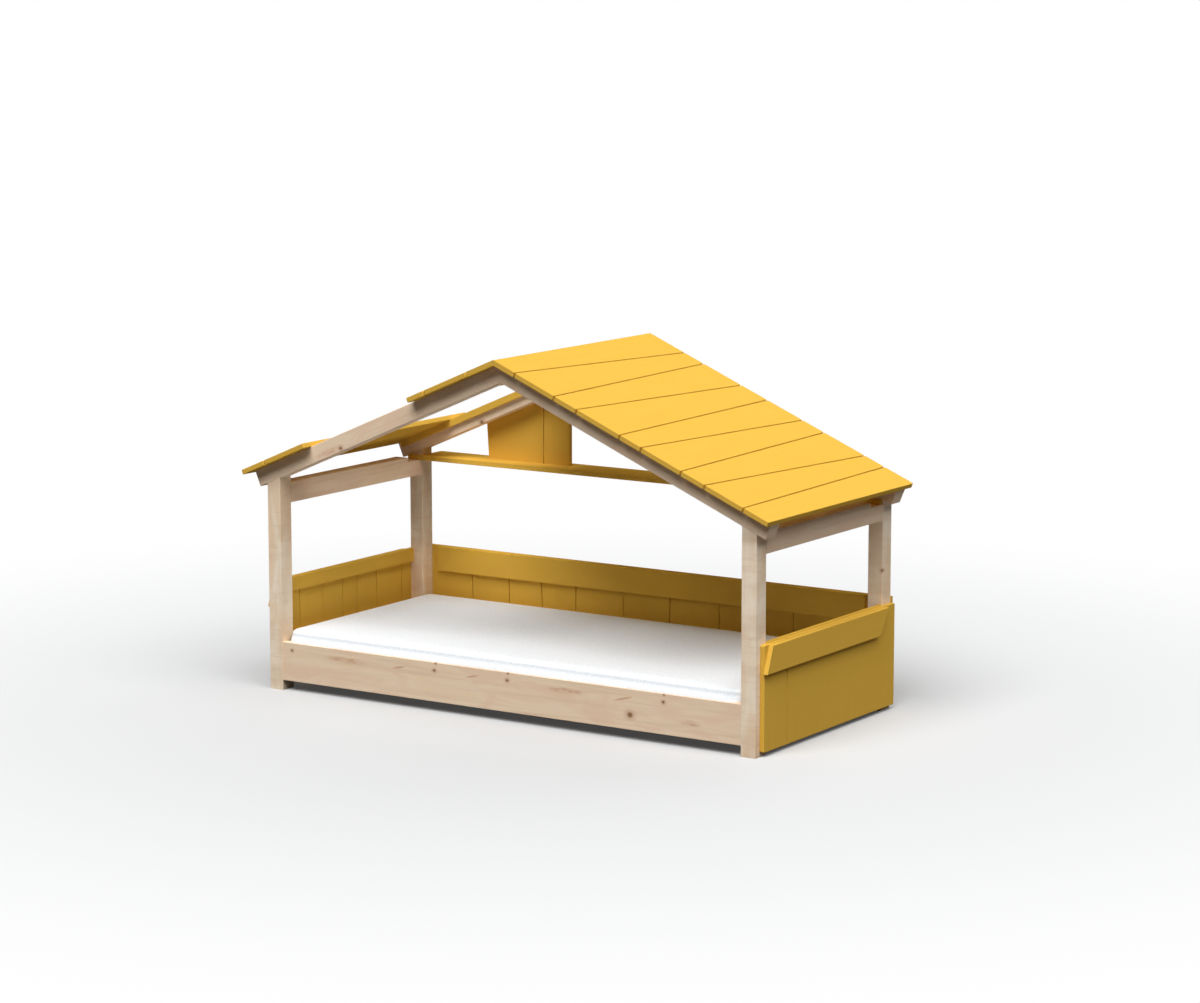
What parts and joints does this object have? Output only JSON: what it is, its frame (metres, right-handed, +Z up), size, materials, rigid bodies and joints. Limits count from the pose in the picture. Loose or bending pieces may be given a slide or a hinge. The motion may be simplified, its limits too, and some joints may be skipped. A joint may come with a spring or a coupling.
{
  "type": "house frame bed",
  "caption": "House frame bed for a child: low pine frame on corner posts, pitched roof of tapered yellow boards with an open bay, yellow end and back panels, white mattress.",
  "frame": {"origin": "on the floor, under the middle of the overall size, roof and shelf plank included", "axes": "+X along the bed to its right end, +Y from the open front to the back, +Z up"},
  "size_m": [2.281, 1.075, 1.3169],
  "materials": {
    "whitewashed_pine": "whitewashed, satin",
    "yellow_paint": "painted yellow, satin",
    "bare_pine": "planed",
    "beech": "turned",
    "zinc_steel": "zinc plated",
    "mattress_cover": "knitted cotton"
  },
  "bodies": {
    "frame": {"back_boards": "yellow_paint", "back_panel_screws": "zinc_steel", "back_plank": "yellow_paint", "back_rail": "whitewashed_pine", "back_slat_ledger": "bare_pine", "batten_back_left": "yellow_paint", "batten_back_right": "yellow_paint", "batten_front_left": "yellow_paint", "batten_front_right": "yellow_paint", "bracket_screws": "zinc_steel", "corner_brackets": "zinc_steel", "dowels": "beech", "end_panel_screws": "zinc_steel", "front_rail": "whitewashed_pine", "front_slat_ledger": "bare_pine", "gable_board_left": "yellow_paint", "gable_board_right": "yellow_paint", "gable_screws": "zinc_steel", "ledger_screws": "zinc_steel", "left_end_boards": "yellow_paint", "left_end_plank": "yellow_paint", "left_end_rail": "whitewashed_pine", "left_inner_rail": "yellow_paint", "left_lower_roof_board_1": "yellow_paint", "left_lower_roof_board_2": "yellow_paint", "left_upper_rail": "whitewashed_pine", "left_upper_roof_board_1": "yellow_paint", "left_upper_roof_board_2": "yellow_paint", "left_upper_roof_board_3": "yellow_paint", "post_back_left": "whitewashed_pine", "post_back_right": "whitewashed_pine", "post_front_left": "whitewashed_pine", "post_front_right": "whitewashed_pine", "rafter_back_left": "whitewashed_pine", "rafter_back_right": "whitewashed_pine", "rafter_front_left": "whitewashed_pine", "rafter_front_right": "whitewashed_pine", "right_end_boards": "yellow_paint", "right_end_plank": "yellow_paint", "right_end_rail": "whitewashed_pine", "right_inner_rail": "yellow_paint", "right_roof_board_1": "yellow_paint", "right_roof_board_2": "yellow_paint", "right_roof_board_3": "yellow_paint", "right_roof_board_4": "yellow_paint", "right_roof_board_5": "yellow_paint", "right_roof_board_6": "yellow_paint", "right_roof_board_7": "yellow_paint", "right_roof_board_8": "yellow_paint", "right_roof_board_9": "yellow_paint", "right_upper_rail": "whitewashed_pine", "roof_screws": "zinc_steel", "shelf_plank": "yellow_paint", "shelf_screws": "zinc_steel", "slat_screws": "zinc_steel", "slats": "bare_pine"},
    "mattress": {"mattress": "mattress_cover"}
  },
  "joints": [
    {"name": "mattress_lift", "type": "slide", "parent": "frame", "child": "mattress", "axis": [0, 0, 1], "range_m": [0, 0.5]}
  ]
}
